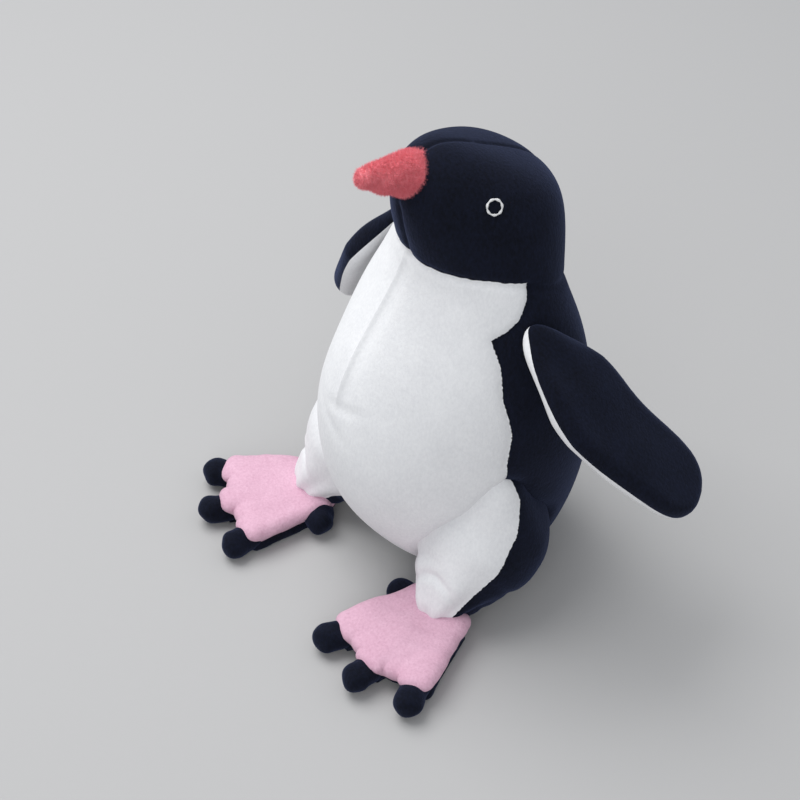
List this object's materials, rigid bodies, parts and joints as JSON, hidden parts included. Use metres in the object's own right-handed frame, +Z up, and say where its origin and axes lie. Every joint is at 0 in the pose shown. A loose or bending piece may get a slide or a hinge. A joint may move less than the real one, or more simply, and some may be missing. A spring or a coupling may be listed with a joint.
{
  "type": "plush penguin toy",
  "caption": "Sitting stuffed penguin with a pear-shaped body, swinging flippers, teardrop legs, webbed feet and a cone bill.",
  "frame": {"origin": "middle of the seat on the surface it sits on, on the toy's middle plane", "axes": "+Z up, the toy faces -Y, its left side is +X"},
  "size_m": [0.2133, 0.1542, 0.2053],
  "materials": {
    "navy_plush": "short-pile navy plush with a soft sheen",
    "white_plush": "short-pile white plush",
    "pink_plush": "short-pile pale pink plush",
    "coral_plush": "short-pile coral plush",
    "eye_thread": "white embroidery thread, satin stitch",
    "fibre_fill": "loose polyester fibre",
    "pellet_bag": "woven cotton bag of plastic pellets"
  },
  "bodies": {
    "torso": {"head_panel_left": "navy_plush", "head_panel_right": "navy_plush", "belly_panel_left": "white_plush", "belly_panel_right": "white_plush", "back_panel_left": "navy_plush", "back_panel_right": "navy_plush", "seat_panel": "navy_plush", "bill_left": "coral_plush", "bill_right": "coral_plush", "eye_ring_left": "eye_thread", "eye_ring_right": "eye_thread", "body_fill": "fibre_fill", "bill_fill": "fibre_fill", "pellet_bag": "pellet_bag"},
    "flipper_left": {"flipper_outer_left": "navy_plush", "flipper_inner_left": "white_plush", "flipper_fill_left": "fibre_fill"},
    "leg_left": {"leg_front_left": "white_plush", "leg_back_left": "navy_plush", "leg_fill_left": "fibre_fill"},
    "foot_left": {"foot_top_left": "pink_plush", "foot_sole_left": "navy_plush", "foot_fill_left": "fibre_fill", "toe_inner_left": "navy_plush", "toe_middle_left": "navy_plush", "toe_outer_left": "navy_plush", "hallux_left": "navy_plush"},
    "flipper_right": {"flipper_outer_right": "navy_plush", "flipper_inner_right": "white_plush", "flipper_fill_right": "fibre_fill"},
    "leg_right": {"leg_front_right": "white_plush", "leg_back_right": "navy_plush", "leg_fill_right": "fibre_fill"},
    "foot_right": {"foot_top_right": "pink_plush", "foot_sole_right": "navy_plush", "foot_fill_right": "fibre_fill", "toe_inner_right": "navy_plush", "toe_middle_right": "navy_plush", "toe_outer_right": "navy_plush", "hallux_right": "navy_plush"}
  },
  "joints": [
    {"name": "shoulder_left", "type": "hinge", "parent": "torso", "child": "flipper_left", "pos_m": [0.05628, 0.00029, 0.13329], "axis": [0.5189, -0.8379, -0.1691], "range_deg": [-5, 40]},
    {"name": "hip_left", "type": "hinge", "parent": "torso", "child": "leg_left", "pos_m": [0.045, -0.015, 0.035], "axis": [-1, 0, 0], "range_deg": [0, 20]},
    {"name": "ankle_left", "type": "hinge", "parent": "leg_left", "child": "foot_left", "pos_m": [0.045, -0.039, 0.016], "axis": [-0.9659, -0.2588, 0], "range_deg": [-5, 20]},
    {"name": "shoulder_right", "type": "hinge", "parent": "torso", "child": "flipper_right", "pos_m": [-0.05628, 0.00029, 0.13329], "axis": [-0.0991, 0.9927, 0.0694], "range_deg": [-12, 40]},
    {"name": "hip_right", "type": "hinge", "parent": "torso", "child": "leg_right", "pos_m": [-0.045, -0.028, 0.036], "axis": [-1, 0, 0], "range_deg": [0, 20]},
    {"name": "ankle_right", "type": "hinge", "parent": "leg_right", "child": "foot_right", "pos_m": [-0.045, -0.049, 0.016], "axis": [-0.9659, 0.2588, 0], "range_deg": [-5, 20]}
  ]
}
